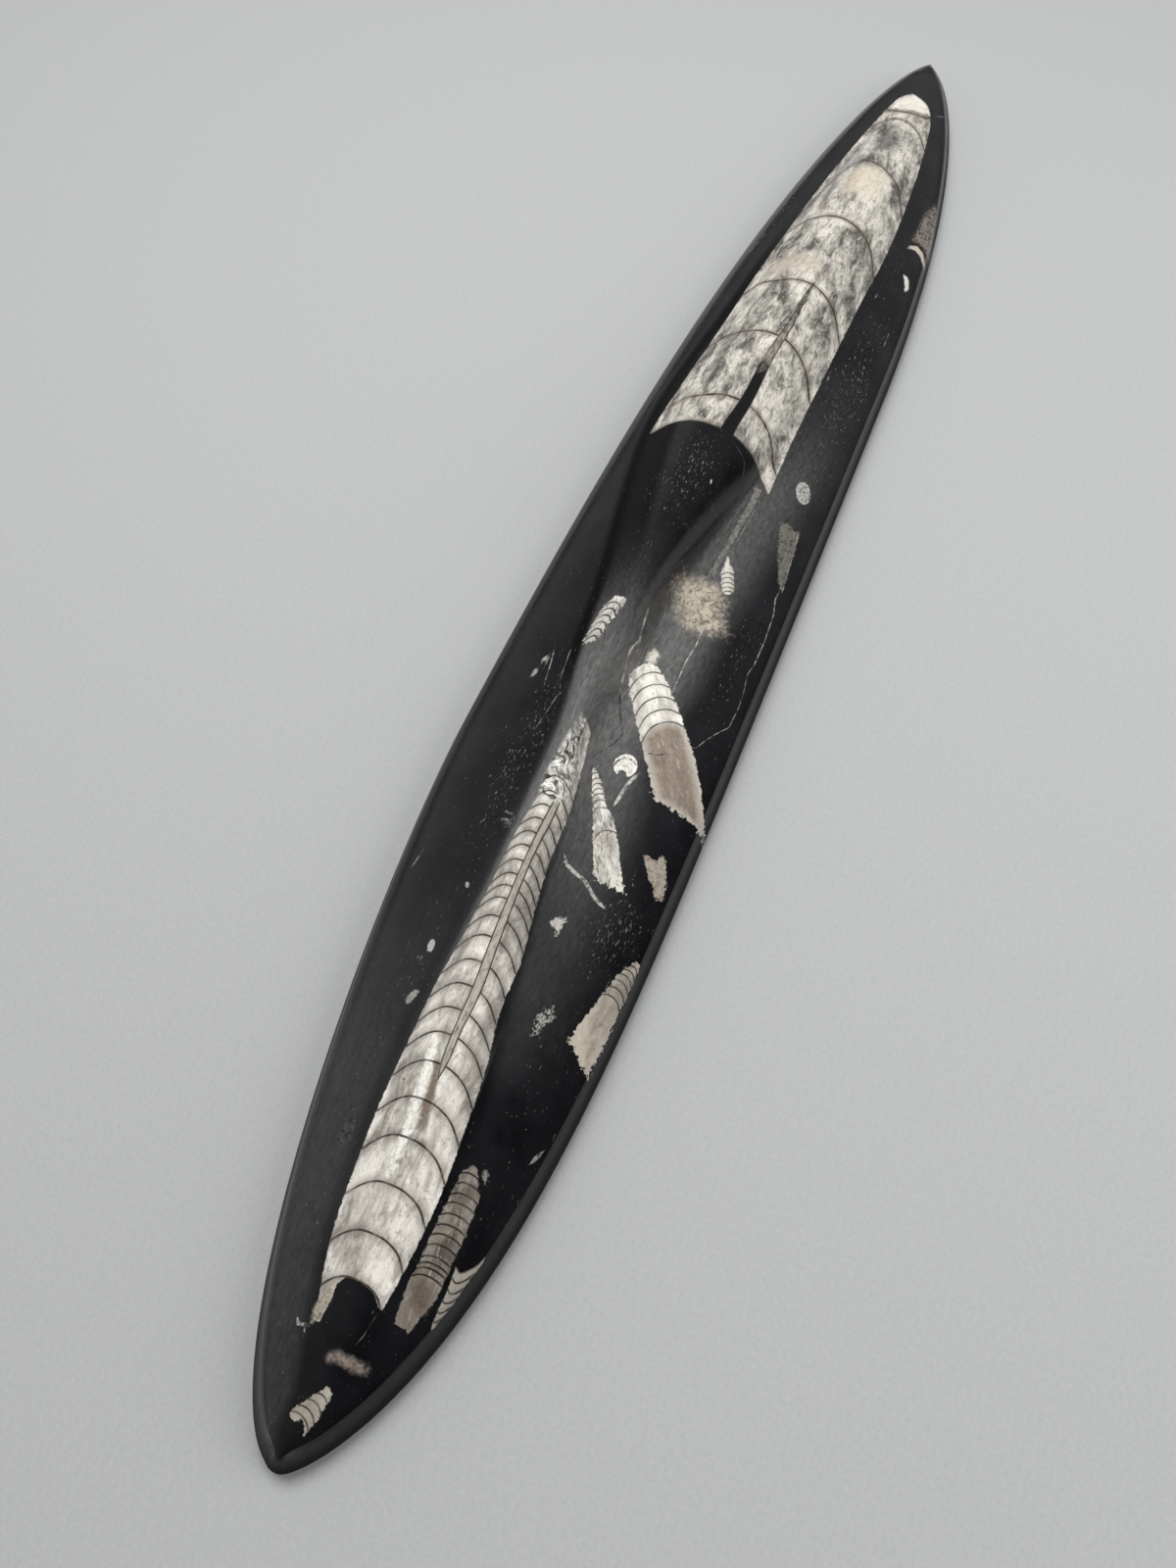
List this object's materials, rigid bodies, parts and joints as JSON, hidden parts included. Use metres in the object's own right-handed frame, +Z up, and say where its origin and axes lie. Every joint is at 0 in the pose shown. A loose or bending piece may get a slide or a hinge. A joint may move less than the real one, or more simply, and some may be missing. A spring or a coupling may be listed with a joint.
{
  "type": "orthoceras fossil",
  "caption": "Leaf-shaped polished black limestone slab with pointed ends, a flat base and straight-shelled nautiloid fossils ground into ridges on its top.",
  "frame": {"origin": "on the surface that the stone rests on, under the middle of its length and width", "axes": "+X along the stone towards the tip that the large cone points at, +Y across it, +Z up"},
  "size_m": [0.3, 0.0428, 0.0181],
  "materials": {
    "limestone": "polished black limestone with white and grey calcite fossils cut flush in it"
  },
  "bodies": {
    "root": {"fossil_stone": "limestone"}
  },
  "joints": []
}
